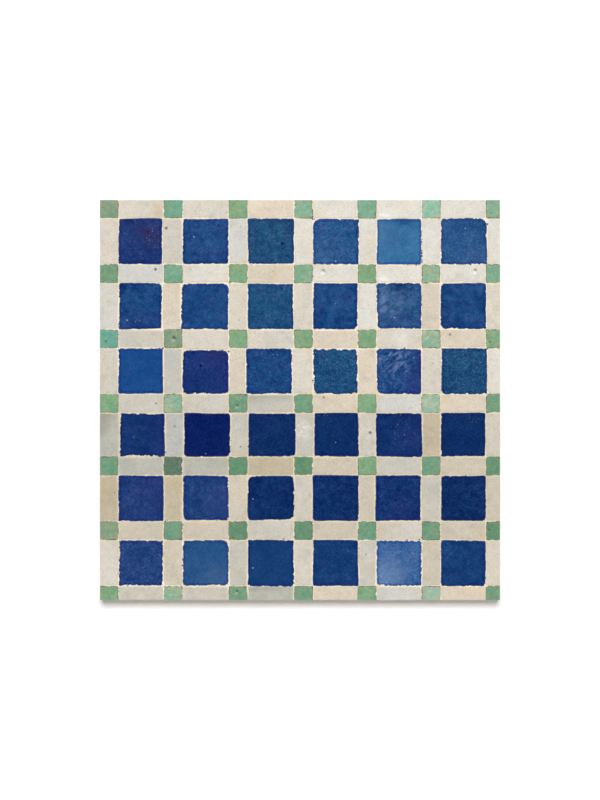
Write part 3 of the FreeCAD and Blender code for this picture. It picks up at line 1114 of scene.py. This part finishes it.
def makeMortarBed():
    look = mortarBed
    reach = sheetHalf - look["edgeInset"]
    bed = {
        "corners": [Vector(way) * reach for way in cornerWays],
        "middle": Vector((0, 0)),
        "back": cadLow.z,
        "tone": mortarLook["cream"],
        "roughCut": 0,
        "radii": [0.01 * mm] * 4,
    }
    cutPieces("mortarBed", [bed], makeBlock(*look["cells"], look["rings"], 0.0), look, ["mortar_bed"])


makePieces("blueSquares", blueSquares, blueSquares, blueLuck)
makePieces("ivoryStripsAcross", ivoryStrips, acrossStrips, ivoryLuck)
makePieces("ivoryStripsUpright", ivoryStrips, uprightStrips, ivoryLuck)
makePieces("greenSquares", greenSquares, greenSquares, greenLuck)
makeMortarBed()


# Floor, light and camera

studio = {
    "floor": srgb(250, 250, 250),
    "floorHalf": 4,
    "floorHeight": -0.3 * mm,
    "floorGlow": 0.08,  # lifts the floor to white in the camera's view, and keeps its shadow
    "farGlow": 0.9,  # the same, well away from the sheet
    "horizon": 0.7,
    "zenith": 0.03,
    "keyPower": 172,
    "keyPlace": (0.0, 1.3, 4.2),
    "keySize": 1.4,
    "fillPower": 12,
    "fillPlace": (0.0, -1.8, 3.4),
    "fillSize": 2.4,
    "cameraHeight": 1.6945,  # above the glazed face
    "lens": 100,
}


def makeFloor():
    mesh = bpy.data.meshes.new("floor")
    half, height = studio["floorHalf"], studio["floorHeight"]
    mesh.from_pydata([(x * half, y * half, height) for x, y in cornerWays], [], [(0, 1, 2, 3)])
    material, tree, shader = newMaterial("paleFloor")
    plain = {"Base Color": studio["floor"], "Roughness": 1.0, "Specular IOR Level": 0.0}
    plain["Emission Color"] = (1, 1, 1, 1)
    for label, value in plain.items():
        shader.inputs[label].default_value = value
    path = addNode(tree, "ShaderNodeLightPath")
    seen = calc("MAXIMUM", path["Is Camera Ray"], path["Is Glossy Ray"])
    away = vector("LENGTH", coordinates(tree))
    glow = ramp(away, 0.5, 3.0, studio["floorGlow"], studio["farGlow"])
    join(seen * glow, shader.inputs["Emission Strength"])
    mesh.materials.append(material)
    addObject("floor", mesh)


def makeWorld():
    world = bpy.data.worlds.new("studioWorld")
    world.use_nodes = True
    bpy.context.scene.world = world
    tree = world.node_tree
    background = tree.nodes["Background"]
    height = split(addNode(tree, "ShaderNodeTexCoord")["Generated"])[2]
    strength = ramp(height, 0.1, 0.7, studio["horizon"], studio["zenith"])
    seen = addNode(tree, "ShaderNodeLightPath")["Is Camera Ray"]
    join(mix(seen, strength, 1.0), background.inputs["Strength"])
    background.inputs["Color"].default_value = (1, 1, 1, 1)


def makeLamp(name):
    lamp = bpy.data.lights.new(f"{name}Lamp", "AREA")
    lamp.energy = studio[f"{name}Power"]
    lamp.size = studio[f"{name}Size"]
    made = addObject(f"{name}Lamp", lamp)
    made.location = studio[f"{name}Place"]
    made.rotation_euler = (-made.location).to_track_quat("-Z", "Y").to_euler()
    made.visible_glossy = False  # the glaze mirrors the pale room alone, as under a scanner's even light


def makeCamera():
    lens = bpy.data.cameras.new("camera")
    lens.lens = studio["lens"]
    lens.sensor_width = 36
    lens.sensor_fit = "AUTO"
    camera = addObject("camera", lens)
    camera.location = (0, 0, faceHeight + studio["cameraHeight"])
    bpy.context.scene.camera = camera


makeFloor()
makeWorld()
makeLamp("key")
makeLamp("fill")
makeCamera()
bpy.context.scene.view_settings.view_transform = "Standard"
print("studio made")
